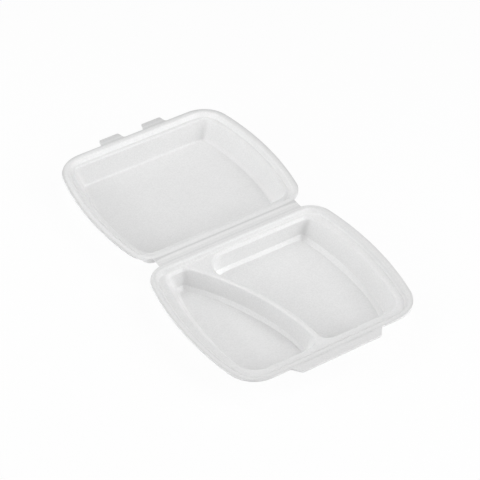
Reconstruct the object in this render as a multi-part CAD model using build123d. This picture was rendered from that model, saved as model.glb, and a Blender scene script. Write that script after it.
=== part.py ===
from build123d import *
from math import cos, radians, sqrt, tan
import os

os.makedirs("parts", exist_ok=True)

# Two-compartment foam meal box, opened flat. One thermoformed sheet in two
# halves that swing on a thin pressed web: a base with two compartments and a
# plain lid. All sizes are in mm, the table is Z = 0 and the base's middle is
# X = Y = 0. Each half is drawn in its own panel frame: the rim's hinge edge
# lies on Y = 0, the panel runs towards -Y and the rim's top face is Z = 0.
# A draft is a wall's lean in degrees from upright, an inset is measured in
# plan from the rim's edge, and a drop downwards from the level named.

# Sheet
sheet_thickness = 2.2
rim_height = 31.5
cut_edge_round = 0.7

# Base rim, as half widths before the corners are rounded
base_depth = 207.0
base_hinge_half = 108.7
base_front_half = 105.8
base_side_bow = 14.65
rim_hinge_radius = 30.0
rim_front_radius = 36.0

# Lid rim, smaller than the base rim by a setback on each free side
lid_side_setback = 5.2
lid_front_setback = 4.3

# Hinge web, pressed thin from below, its top flush with the rims
web_width = 11.5
web_half_length = 91.0
web_thickness = 0.9

# Recessed ledge inside the base's flange
flange_width = 7.0
flange_round = 3.0
ledge_drop = 5.0
ledge_draft = 30.0
ledge_hinge_radius = 16.0
ledge_front_radius = 24.0
ledge_foot_round = 0.7

# Compartments at the ledge, with a short shoulder above their walls
cell_hinge_inset = 11.4
cell_side_inset = 18.0
cell_front_inset = 18.5
shoulder_drop = 3.2
shoulder_hinge_draft = 40.0
shoulder_side_draft = 32.0
shoulder_front_draft = 32.0

# Compartment walls below the shoulder
wall_hinge_draft = 6.0
wall_side_draft = 26.0
wall_front_draft = 26.0

# Ridge between the compartments, an arc seen from above. Its ends are set by
# the small compartment's widths, from the rim's edge to the ridge's middle line.
pocket_hinge_width = 35.4
pocket_front_width = 100.0
ridge_bow = 21.2
ridge_top = 5.4
ridge_pocket_draft = 12.0
ridge_main_draft = 18.0

# Corner radii of the compartments at the ledge and at the floor
main_ridge_back_radius = 23.0
main_ridge_back_floor_radius = 13.0
main_back_radius = 9.0
main_back_floor_radius = 5.5
main_front_radius = 20.0
main_front_floor_radius = 12.0
main_ridge_front_radius = 14.0
main_ridge_front_floor_radius = 8.0
pocket_ridge_back_radius = 8.0
pocket_ridge_back_floor_radius = 7.0
pocket_back_radius = 12.0
pocket_back_floor_radius = 8.0
pocket_front_radius = 28.0
pocket_front_floor_radius = 18.0
pocket_ridge_front_radius = 14.0
pocket_ridge_front_floor_radius = 8.0
foot_chamfer = 3.8
brim_round = 2.2

# Lid, a flange and ledge round one plain hollow
lid_flange_width = 7.0
lid_ledge_drop = 4.5
lid_ledge_draft = 40.0
lid_ledge_hinge_radius = 20.0
lid_ledge_front_radius = 24.0
lid_cell_inset = 15.3
lid_hinge_draft = 25.0
lid_front_draft = 15.0
lid_side_draft = 23.0
lid_hinge_radius = 16.0
lid_hinge_floor_radius = 10.0
lid_front_radius = 9.0
lid_front_floor_radius = 5.5
lid_foot_round = 3.0

# Closure: a tongue on the base with two slits, and two tabs on the lid
tongue_half_root = 56.8
tongue_reach = 10.6
tongue_end_set = 8.0
tongue_round = 6.0
tongue_root_round = 4.0
tab_spacing = 55.9
tab_half_root = 15.2
tab_reach = 9.9
tab_end_set = 2.7
tab_round = 2.5
slit_width = 0.2
slit_clearance = 1.2


def bowed(depth, hinge_x, front_x, bow):
    """Centre and radius of an arc from the hinge edge to the front edge, bowed towards +X."""
    middle_x = (hinge_x + front_x) / 2 + bow
    arc = ThreePointArc((hinge_x, 0), (middle_x, -depth / 2), (front_x, -depth))
    return arc.arc_center.X, arc.arc_center.Y, arc.radius


def on_arc(arc, y, inset):
    """X of a circle, drawn in by an inset, at one Y."""
    centre_x, centre_y, radius = arc
    return centre_x + sqrt((radius - inset) ** 2 - (y - centre_y) ** 2)


def run(draft, drop, skin):
    """Plan distance that a leaning wall has come in at a drop, less a skin laid on it."""
    return drop * tan(radians(draft)) - skin / cos(radians(draft))


def between(top, bottom, share):
    """Value part of the way from the top one to the bottom one."""
    return top + (bottom - top) * share


def rounded_face(corners, middles, radii, level):
    """Four-sided face with bowed or straight sides and its own radius at each corner."""
    edges = []
    for index in range(4):
        start = corners[index]
        end = corners[(index + 1) % 4]
        if middles[index] is None:
            edges.append(Line(start, end))
        else:
            edges.append(ThreePointArc(start, middles[index], end))
    face = make_face(edges).face()
    for corner, radius in zip(corners, radii):
        face = face.fillet_2d(radius, face.vertices().sort_by_distance(Vector(*corner))[:1])
    return Pos(0, 0, level) * face


def panel_face(depth, arc, insets, radii, level):
    """Outline of a whole panel, drawn in by hinge, side and front insets."""
    hinge_inset, side_inset, front_inset = insets
    hinge_radius, front_radius = radii
    back = -hinge_inset
    front = front_inset - depth
    middle = (back + front) / 2
    back_x = on_arc(arc, back, side_inset)
    middle_x = on_arc(arc, middle, side_inset)
    front_x = on_arc(arc, front, side_inset)
    corners = [(-back_x, back), (back_x, back), (front_x, front), (-front_x, front)]
    middles = [None, (middle_x, middle), None, (-middle_x, middle)]
    return rounded_face(corners, middles, [hinge_radius, hinge_radius, front_radius, front_radius], level)


def cell_face(hand, insets, ridge_offset, radii, level):
    """Outline of one compartment: hand +1 for the large one, -1 for the small one."""
    hinge_inset, side_inset, front_inset = insets
    back = -hinge_inset
    front = front_inset - base_depth
    middle = (back + front) / 2
    ridge_inset = -hand * ridge_offset
    corners = [
        (on_arc(ridge_arc, back, ridge_inset), back),
        (hand * on_arc(base_arc, back, side_inset), back),
        (hand * on_arc(base_arc, front, side_inset), front),
        (on_arc(ridge_arc, front, ridge_inset), front),
    ]
    middles = [
        None,
        (hand * on_arc(base_arc, middle, side_inset), middle),
        None,
        (on_arc(ridge_arc, middle, ridge_inset), middle),
    ]
    return rounded_face(corners, middles, radii, level)


def foot_edges(body):
    """Edges of the lowest face of a body."""
    return body.edges().group_by(Axis.Z)[0]


def leaning(start, upper_draft, lower_draft, bend_drop, drop, skin):
    """Inset of a wall that leans by one draft down to a bend and by another below it."""
    bend = run(upper_draft, bend_drop, 0) - run(lower_draft, bend_drop, 0)
    return start + min(run(upper_draft, drop, skin), bend + run(lower_draft, drop, skin))


def bend_level(bend_drop, upper_draft, lower_draft, skin):
    """Drop of the bend in a skin laid under a wall."""
    return bend_drop + skin * tan(radians((upper_draft + lower_draft) / 2))


def cell_body(hand, top_radii, floor_radii, ridge_draft, skin):
    """Hollow of a compartment below the ledge, or its jacket when it has a skin."""
    bend_drop = bend_level(shoulder_drop, shoulder_hinge_draft, wall_hinge_draft, skin)
    outlines = []
    for drop in (0, bend_drop, cell_drop + skin):
        insets = [
            leaning(start, upper_draft, lower_draft, shoulder_drop, drop, skin)
            for start, upper_draft, lower_draft in cell_sides
        ]
        ridge_offset = ridge_top / 2 + run(ridge_draft, drop, skin)
        share = drop / cell_drop
        radii = [between(top, floor, share) + skin for top, floor in zip(top_radii, floor_radii)]
        outlines.append(cell_face(hand, insets, ridge_offset, radii, -ledge_drop - drop))
    body = loft(outlines, ruled=True)
    return chamfer(foot_edges(body), foot_chamfer + skin / 2)


def ledge_body(depth, arc, flange, draft, drop, corner_radii, skin):
    """Recess above a ledge, or its jacket when it has a skin."""
    outlines = []
    for level in (0, drop + skin):
        inset = flange + run(draft, level, skin)
        radii = [radius + skin for radius in corner_radii]
        outlines.append(panel_face(depth, arc, [inset] * 3, radii, -level))
    return loft(outlines, ruled=True)


def base_ledge(skin):
    """Recess above the base's ledge, or its jacket."""
    radii = [ledge_hinge_radius, ledge_front_radius]
    return ledge_body(base_depth, base_arc, flange_width, ledge_draft, ledge_drop, radii, skin)


def lid_ledge(skin):
    """Recess above the lid's ledge, or its jacket."""
    radii = [lid_ledge_hinge_radius, lid_ledge_front_radius]
    return ledge_body(lid_depth, lid_arc, lid_flange_width, lid_ledge_draft, lid_ledge_drop, radii, skin)


def lid_cell(skin):
    """Hollow of the lid below its ledge, or its jacket when it has a skin."""
    drafts = [lid_hinge_draft, lid_side_draft, lid_front_draft]
    outlines = []
    for drop in (0, lid_cell_drop + skin):
        insets = [lid_cell_inset + run(draft, drop, skin) for draft in drafts]
        share = drop / lid_cell_drop
        radii = [
            between(lid_hinge_radius, lid_hinge_floor_radius, share) + skin,
            between(lid_front_radius, lid_front_floor_radius, share) + skin,
        ]
        outlines.append(panel_face(lid_depth, lid_arc, insets, radii, -lid_ledge_drop - drop))
    body = loft(outlines, ruled=True)
    return fillet(foot_edges(body), lid_foot_round + skin)


def with_flap(rim, centre, half_root, end_set, reach, depth, corner_round, root_round):
    """Rim outline with a flat tapered flap standing out from its front edge."""
    corners = [
        (centre - half_root, -depth),
        (centre - half_root + end_set, -depth - reach),
        (centre + half_root - end_set, -depth - reach),
        (centre + half_root, -depth),
    ]
    inner = [(centre + half_root / 2, reach - depth), (centre - half_root / 2, reach - depth)]
    joined = (rim + make_face(Polyline(*corners, *inner, close=True)).face()).face()
    for corner, radius in zip(corners, (root_round, corner_round, corner_round, root_round)):
        joined = joined.fillet_2d(radius, joined.vertices().sort_by_distance(Vector(*corner))[:1])
    return joined


def flange_plate(outline):
    """Flat sheet of a rim with its cut edges eased."""
    plate = extrude(outline, -sheet_thickness)
    plate = fillet(plate.edges().group_by(Axis.Z)[-1], cut_edge_round)
    return fillet(plate.edges().group_by(Axis.Z)[0], cut_edge_round)


def web():
    """Half of the hinge web, from inside the rim to the folding line."""
    reach = web_width / 2 + lid_flange_width
    strip = Box(2 * web_half_length, reach, web_thickness, align=(Align.CENTER, Align.MIN, Align.MAX))
    return Pos(0, -lid_flange_width, 0) * strip


def level_face(body, level):
    """Largest flat face that looks up at one level."""
    flat = body.faces().filter_by(Axis.Z).filter_by_position(Axis.Z, level - 0.01, level + 0.01)
    return flat.sort_by(SortBy.AREA)[-1]


def inner_edges(face):
    """Edges of all the openings in a face."""
    return [edge for wire in face.inner_wires() for edge in wire.edges()]


cell_drop = rim_height - ledge_drop - sheet_thickness
base_arc = bowed(base_depth, base_hinge_half, base_front_half, base_side_bow)
ridge_arc = bowed(
    base_depth, pocket_hinge_width - base_hinge_half, pocket_front_width - base_front_half, ridge_bow
)
main_radii = [main_ridge_back_radius, main_back_radius, main_front_radius, main_ridge_front_radius]
main_floor_radii = [
    main_ridge_back_floor_radius,
    main_back_floor_radius,
    main_front_floor_radius,
    main_ridge_front_floor_radius,
]
pocket_radii = [
    pocket_ridge_back_radius,
    pocket_back_radius,
    pocket_front_radius,
    pocket_ridge_front_radius,
]
pocket_floor_radii = [
    pocket_ridge_back_floor_radius,
    pocket_back_floor_radius,
    pocket_front_floor_radius,
    pocket_ridge_front_floor_radius,
]
cell_sides = [
    (cell_hinge_inset, shoulder_hinge_draft, wall_hinge_draft),
    (cell_side_inset, shoulder_side_draft, wall_side_draft),
    (cell_front_inset, shoulder_front_draft, wall_front_draft),
]
cells = [
    (1, main_radii, main_floor_radii, ridge_main_draft),
    (-1, pocket_radii, pocket_floor_radii, ridge_pocket_draft),
]

# Base: flange with its tongue, recessed ledge, shoulders and both compartments
rim = panel_face(base_depth, base_arc, [0, 0, 0], [rim_hinge_radius, rim_front_radius], 0)
rim = with_flap(
    rim, 0, tongue_half_root, tongue_end_set, tongue_reach, base_depth, tongue_round, tongue_root_round
)
base = flange_plate(rim) + web()
base += base_ledge(sheet_thickness)
for hand, radii, floor_radii, ridge_draft in cells:
    base += cell_body(hand, radii, floor_radii, ridge_draft, sheet_thickness)
base -= base_ledge(0)
for hand, radii, floor_radii, ridge_draft in cells:
    base -= cell_body(hand, radii, floor_radii, ridge_draft, 0)
base = fillet(inner_edges(level_face(base, -ledge_drop)), brim_round)
base = fillet(level_face(base, -ledge_drop).outer_wire().edges(), ledge_foot_round)
base = fillet(inner_edges(level_face(base, 0)), flange_round)
for hand in (-1, 1):
    slit = Box(2 * (tab_half_root + slit_clearance), slit_width, 3 * sheet_thickness)
    base -= Pos(hand * tab_spacing / 2, -base_depth, 0) * slit

# Lid: flange with its two tabs, ledge and one hollow
lid_depth = base_depth - lid_front_setback
lid_cell_drop = rim_height - lid_ledge_drop - sheet_thickness
lid_arc = bowed(
    lid_depth, base_hinge_half - lid_side_setback, base_front_half - lid_side_setback, base_side_bow
)
lid_rim = panel_face(lid_depth, lid_arc, [0, 0, 0], [rim_hinge_radius, rim_front_radius], 0)
for hand in (-1, 1):
    centre = hand * tab_spacing / 2
    lid_rim = with_flap(
        lid_rim, centre, tab_half_root, tab_end_set, tab_reach, lid_depth, tab_round, tab_round
    )
lid = flange_plate(lid_rim) + web()
lid += lid_ledge(sheet_thickness)
lid += lid_cell(sheet_thickness)
lid -= lid_ledge(0)
lid -= lid_cell(0)
lid = fillet(inner_edges(level_face(lid, -lid_ledge_drop)), brim_round)
lid = fillet(level_face(lid, -lid_ledge_drop).outer_wire().edges(), ledge_foot_round)
lid = fillet(inner_edges(level_face(lid, 0)), flange_round)

# Placing: the base about the middle of the model, the lid turned round behind it
hinge_edge = base_depth / 2
base = Pos(0, hinge_edge, rim_height) * base
lid = Pos(0, hinge_edge + web_width, rim_height) * Rot(0, 0, 180) * lid

base.label = "base"
lid.label = "lid"
export_step(base, "parts/base.step")
export_step(lid, "parts/lid.step")
for body in (base, lid):
    print(body.label, len(body.solids()), round(body.volume), body.is_valid, len(body.faces()))
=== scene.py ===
from math import cos, radians, sin

import bpy
import numpy as np
from mathutils import Matrix, Vector

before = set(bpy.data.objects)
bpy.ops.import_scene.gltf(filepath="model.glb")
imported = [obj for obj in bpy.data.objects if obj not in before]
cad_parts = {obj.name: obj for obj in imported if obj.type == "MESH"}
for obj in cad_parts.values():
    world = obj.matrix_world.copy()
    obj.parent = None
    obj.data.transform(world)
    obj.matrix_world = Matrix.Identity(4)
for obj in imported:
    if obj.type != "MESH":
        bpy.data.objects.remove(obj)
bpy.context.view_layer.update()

# Base half. White polystyrene foam sheet, warmed and drawn over a mould, then cut
# round its flange. The skin is a closed satin film over very fine cells. The flange
# is a little greyer, with painted shade at its cut edge and along the crease.
base_hinge_edge = 0.1035
base_depth = 0.207
base_half_widths = (0.1087, 0.1219, 0.1058)  # at the hinge end, the middle and the free end
flange_level = 0.0285
level_blend = 0.0015
hinge_corner_blend = 0.0365
free_corner_blend = 0.0437
crease_sharpness = 1.8
millimetre = 0.001
tones_from = -8  # millimetres in from the rim's edge
tones_to = 12
cell_width = 0.0016
cell_relief = 0.0003
relief_strength = 0.5
mould_patch = 0.022
patch_share = 0.15
pale_from, pale_to = 0.38, 0.77  # noise levels where the film is greyest and palest
noise_low, noise_high = 0.3, 0.7
satin, dull = 0.30, 0.38  # roughness where the film closed well, and where it didn't
mix_a, mix_b, mix_result = 6, 7, 2  # the colour sockets of a Mix node


def linear(code):
    """Linear colour of an sRGB hex code."""
    parts = [int(code[i:i + 2], 16) / 255 for i in (1, 3, 5)]
    return [p / 12.92 if p <= 0.04045 else ((p + 0.055) / 1.055) ** 2.4 for p in parts] + [1.0]


def add(tree, kind, settings=None, inputs=None, links=None):
    """One node with its settings, socket values and incoming links."""
    node = tree.nodes.new(kind)
    for name, value in (settings or {}).items():
        setattr(node, name, value)
    for name, value in (inputs or {}).items():
        node.inputs[name].default_value = value
    for name, source in (links or {}).items():
        tree.links.new(source, node.inputs[name])
    return node


def circle_through(half_widths, depth):
    """Centre and radius of a bowed side edge, seen in plan: the circle through its hinge
    end, its middle and its free end, with x outwards and y away from the hinge edge."""
    x = np.array(half_widths)
    y = np.array([0.0, depth / 2, depth])
    slope, lift, rest = np.linalg.solve(np.stack([x, y, np.ones(3)], 1), -(x ** 2 + y ** 2))
    centre = (-slope / 2, -lift / 2, 0.0)
    return centre, float(np.sqrt(centre[0] ** 2 + centre[1] ** 2 - rest))


def foamed_polystyrene(name, hinge_edge, turn, depth, half_widths, edge_tones_and_painted_shade):
    """Thermoformed polystyrene foam of one half. Depth in from the rim's edge is worked out
    from the two bowed sides, the hinge edge and the free edge, blended at the corners."""
    material = bpy.data.materials.new(name)
    material.use_nodes = True
    tree = material.node_tree
    tree.nodes.clear()
    place = add(tree, "ShaderNodeTexCoord")
    from_hinge = add(tree, "ShaderNodeMapping", inputs={
        "Location": (0.0, -turn * hinge_edge, 0.0), "Scale": (1.0, turn, 1.0),
    }, links={"Vector": place.outputs["Object"]})
    parts = add(tree, "ShaderNodeSeparateXYZ", links={0: from_hinge.outputs[0]})
    outwards = add(tree, "ShaderNodeMath", {"operation": "ABSOLUTE"}, links={0: parts.outputs[0]})
    from_fold = add(tree, "ShaderNodeMath", {"operation": "ABSOLUTE"}, links={0: parts.outputs[1]})
    from_crease = add(tree, "ShaderNodeMath", {"operation": "MULTIPLY"}, {1: crease_sharpness}, {
        0: from_fold.outputs[0],
    })
    half = add(tree, "ShaderNodeCombineXYZ", links={0: outwards.outputs[0], 1: parts.outputs[1]})
    centre, radius = circle_through(half_widths, depth)
    reach = add(tree, "ShaderNodeVectorMath", {"operation": "DISTANCE"}, {1: centre}, {0: half.outputs[0]})
    from_side = add(tree, "ShaderNodeMath", {"operation": "SUBTRACT"}, {0: radius}, {
        1: reach.outputs["Value"],
    })
    from_free = add(tree, "ShaderNodeMath", {"operation": "SUBTRACT"}, {0: depth}, {1: parts.outputs[1]})
    hinge_corner = add(tree, "ShaderNodeMath", {"operation": "SMOOTH_MIN"}, {2: hinge_corner_blend}, {
        0: from_side.outputs[0], 1: from_crease.outputs[0],
    })
    inset = add(tree, "ShaderNodeMath", {"operation": "SMOOTH_MIN"}, {2: free_corner_blend}, {
        0: hinge_corner.outputs[0], 1: from_free.outputs[0],
    })

    # Tone of the flange by depth in from its edge, with painted shade darkest at the cut and along the
    # crease
    share = add(tree, "ShaderNodeMapRange", inputs={
        "From Min": tones_from * millimetre, "From Max": tones_to * millimetre,
    }, links={"Value": inset.outputs[0]})
    flange_tone_and_painted_shade = add(tree, "ShaderNodeValToRGB", links={"Fac": share.outputs[0]})
    ramp = flange_tone_and_painted_shade.color_ramp
    for _ in range(len(edge_tones_and_painted_shade) - 2):
        ramp.elements.new(0.5)
    for stop, (inset_millimetres, tone) in zip(ramp.elements, edge_tones_and_painted_shade):
        stop.position = (inset_millimetres - tones_from) / (tones_to - tones_from)
        stop.color = linear(tone)
    on_flange = add(tree, "ShaderNodeMapRange", inputs={
        "From Min": flange_level - level_blend, "From Max": flange_level,
    }, links={"Value": parts.outputs[2]})

    # Cells: about 0.3 mm across in the real sheet, drawn at 1.6 mm so that they show,
    # with broad patches where the sheet cooled against the mould
    cells = add(tree, "ShaderNodeTexNoise", inputs={
        "Scale": 1 / cell_width, "Detail": 2.0, "Roughness": 0.6,
    }, links={"Vector": place.outputs["Object"]})
    patches = add(tree, "ShaderNodeTexNoise", inputs={
        "Scale": 1 / mould_patch, "Detail": 3.0,
    }, links={"Vector": place.outputs["Object"]})
    both = add(tree, "ShaderNodeMath", {"operation": "MULTIPLY_ADD"}, {1: patch_share}, {
        0: patches.outputs[0], 2: cells.outputs[0],
    })
    speckle = add(tree, "ShaderNodeMapRange", inputs={
        "From Min": pale_from, "From Max": pale_to,
    }, links={"Value": both.outputs[0]})
    film = add(tree, "ShaderNodeMix", {"data_type": "RGBA"}, {
        mix_a: linear("#E3E3E3"), mix_b: linear("#ECECEC"),
    }, {0: speckle.outputs[0]})
    tone = add(tree, "ShaderNodeMix", {"data_type": "RGBA", "blend_type": "MULTIPLY"}, links={
        0: on_flange.outputs[0], mix_a: film.outputs[mix_result], mix_b: flange_tone_and_painted_shade.outputs[0],
    })

    # Satin: the patches are a little duller, and the cells stand up as fine pebbling
    gloss = add(tree, "ShaderNodeMapRange", inputs={
        "From Min": noise_low, "From Max": noise_high, "To Min": satin, "To Max": dull,
    }, links={"Value": patches.outputs[0]})
    pebbles = add(tree, "ShaderNodeBump", inputs={
        "Strength": relief_strength, "Distance": cell_relief,
    }, links={"Height": cells.outputs[0]})
    skin = add(tree, "ShaderNodeBsdfPrincipled", inputs={"IOR": 1.5}, links={
        "Base Color": tone.outputs[mix_result],
        "Roughness": gloss.outputs[0],
        "Normal": pebbles.outputs[0],
    })
    add(tree, "ShaderNodeOutputMaterial", links={"Surface": skin.outputs[0]})
    return material


# Painted shade on its flange: darkest just inside the cut, a fainter band of painted shadow 6 mm in, and
# lighter again up to the brim
base_foam = foamed_polystyrene(
    "foamed_polystyrene_base", base_hinge_edge, -1.0, base_depth, base_half_widths,
    [
        (-8, "#F5F5F5"), (-2, "#F6F6F6"), (0, "#F2F2F2"), (1.3, "#EEEEEE"),
        (2.6, "#F7F7F7"), (4.5, "#FAFAFA"), (6, "#F5F5F5"), (9, "#FBFBFB"),
    ],
)
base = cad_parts["base"]
base.data.materials.clear()
base.data.materials.append(base_foam)

# Lid half. The same sheet beyond the hinge web, with one plain hollow. Its crease has
# darker painted shade than the base's, and its two thin tabs carry painted shade that
# grows darker towards their ends.
lid_crease = 0.1142
lid_depth = 0.2035
lid_half_widths = (0.1035, 0.1167, 0.1006)
lid_foam = foamed_polystyrene(
    "foamed_polystyrene_lid", lid_crease, 1.0, lid_depth, lid_half_widths,
    [
        (-8, "#E6E6E6"), (-5, "#E6E6E6"), (-2.5, "#F0F0F0"), (0, "#E4E4E4"),
        (1.3, "#EAEAEA"), (2.6, "#F8F8F8"), (5, "#FFFFFF"), (9, "#FFFFFF"),
    ],
)
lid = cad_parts["lid"]
lid.data.materials.clear()
lid.data.materials.append(lid_foam)

# Table. A sheet of white paper lit from behind, as on a light table, so it shows
# as plain white, throws some light up under the box and keeps a soft shadow.
table_half = 3.0
glow_alone = 0.4
glow_shown = 0.94
white = linear("#FFFFFF")
table_data = bpy.data.meshes.new("table")
table_data.from_pydata(
    [(-table_half, -table_half, 0), (table_half, -table_half, 0),
     (table_half, table_half, 0), (-table_half, table_half, 0)],
    [], [(0, 1, 2, 3)],
)
table = bpy.data.objects.new("table", table_data)
bpy.context.scene.collection.objects.link(table)


def shown_as_white(tree):
    """1 where the camera, a reflection or a see-through part looks at the surface, else 0."""
    path = add(tree, "ShaderNodeLightPath")
    seen = add(tree, "ShaderNodeMath", {"operation": "MAXIMUM"}, links={
        0: path.outputs["Is Camera Ray"], 1: path.outputs["Is Glossy Ray"],
    })
    return add(tree, "ShaderNodeMath", {"operation": "MAXIMUM"}, links={
        0: seen.outputs[0], 1: path.outputs["Is Transmission Ray"],
    })


white_paper = bpy.data.materials.new("white_paper")
white_paper.use_nodes = True
tree = white_paper.node_tree
tree.nodes.clear()
paper = add(tree, "ShaderNodeBsdfDiffuse", inputs={"Color": linear("#F2F2F2")})
glow = add(tree, "ShaderNodeEmission", inputs={"Color": white, "Strength": 1.0})
shown = shown_as_white(tree)
share = add(tree, "ShaderNodeMath", {"operation": "MULTIPLY_ADD"}, {
    1: glow_shown - glow_alone, 2: glow_alone,
}, {0: shown.outputs[0]})
mixed = add(tree, "ShaderNodeMixShader", links={
    0: share.outputs[0], 1: paper.outputs[0], 2: glow.outputs[0],
})
add(tree, "ShaderNodeOutputMaterial", links={"Surface": mixed.outputs[0]})
table_data.materials.append(white_paper)

# Backdrop. White all round to the eye, and nearly dark as a source of light, so
# that the softboxes model the forms.
fill_strength = 0.02
world = bpy.data.worlds.new("studio")
bpy.context.scene.world = world
world.use_nodes = True
tree = world.node_tree
tree.nodes.clear()
fill_light = add(tree, "ShaderNodeBackground", inputs={"Color": white, "Strength": fill_strength})
backdrop = add(tree, "ShaderNodeBackground", inputs={"Color": white, "Strength": 1.0})
shown = shown_as_white(tree)
mixed = add(tree, "ShaderNodeMixShader", links={
    0: shown.outputs[0], 1: fill_light.outputs[0], 2: backdrop.outputs[0],
})
add(tree, "ShaderNodeOutputWorld", links={"Surface": mixed.outputs[0]})

# Lamps. Square softboxes turned to the middle of the box, each half as wide as it
# is far. The low ones light the walls and leave no glare on the level faces.
box_middle = Vector((0, 0.1, 0))
far, near = 1.6, 0.8
no_glare_below = 20  # degrees


def softbox(name, azimuth, elevation, distance, watts):
    """Square lamp that looks at the box; azimuth 0 is the front, 90 the right."""
    turn, rise = radians(azimuth), radians(elevation)
    towards = Vector((sin(turn) * cos(rise), -cos(turn) * cos(rise), sin(rise)))
    data = bpy.data.lights.new(name, "AREA")
    data.size = distance / 2
    data.energy = watts
    lamp = bpy.data.objects.new(name, data)
    lamp.location = box_middle + towards * distance
    lamp.visible_glossy = elevation > no_glare_below
    lamp.rotation_euler = (-towards).to_track_quat("-Z", "Y").to_euler()
    bpy.context.scene.collection.objects.link(lamp)


softbox("front_right_low", 35, 14, far, 9.4)
softbox("front", 0, 38, far, 0.9)
softbox("front_right", 30, 38, far, 5.7)
softbox("right", 60, 38, far, 4.0)
softbox("right_high", 60, 62, far, 5.2)
softbox("back_low", 180, 14, far, 1.6)
softbox("back", 180, 38, far, 1.6)
softbox("back_left_near", 213, 55, near, 1.2)
softbox("left", 265, 38, far, 5.8)
softbox("left_low", 252, 14, far, 6.6)
softbox("left_low_front", 268, 14, far, 4.6)
softbox("left_front_high", 300, 62, far, 0.4)

# Camera. The photograph looks down at the opened box from its front left, from
# far off, with a slight tilt of the picture, which is 480 pixels wide and high.
view_azimuth = radians(-31.36)
view_elevation = radians(41.59)
view_roll = radians(1.05)
view_distance = 2.194
pixels_per_metre = 914.0
picture_width = 480
sensor_width = 36.0
hinge_line = Vector((0.0, 0.1035, 0.0315))
hinge_line_pixel = (230.9, 235.4)

towards_camera = Vector((
    sin(view_azimuth) * cos(view_elevation),
    -cos(view_azimuth) * cos(view_elevation),
    sin(view_elevation),
))
level_right = Vector((cos(view_azimuth), sin(view_azimuth), 0.0))
level_up = towards_camera.cross(level_right)
picture_right = level_right * cos(view_roll) - level_up * sin(view_roll)
picture_up = towards_camera.cross(picture_right)
middle = picture_width / 2
aim = (
    hinge_line
    + picture_right * (middle - hinge_line_pixel[0]) / pixels_per_metre
    + picture_up * (hinge_line_pixel[1] - middle) / pixels_per_metre
)
camera_data = bpy.data.cameras.new("camera")
camera_data.sensor_width = sensor_width
camera_data.lens = sensor_width * view_distance * pixels_per_metre / picture_width
camera_data.clip_end = 20.0
camera = bpy.data.objects.new("camera", camera_data)
camera.matrix_world = Matrix.Translation(aim + towards_camera * view_distance) @ Matrix((
    picture_right, picture_up, towards_camera
)).transposed().to_4x4()
bpy.context.scene.collection.objects.link(camera)
bpy.context.scene.camera = camera
bpy.context.scene.view_settings.view_transform = "Standard"
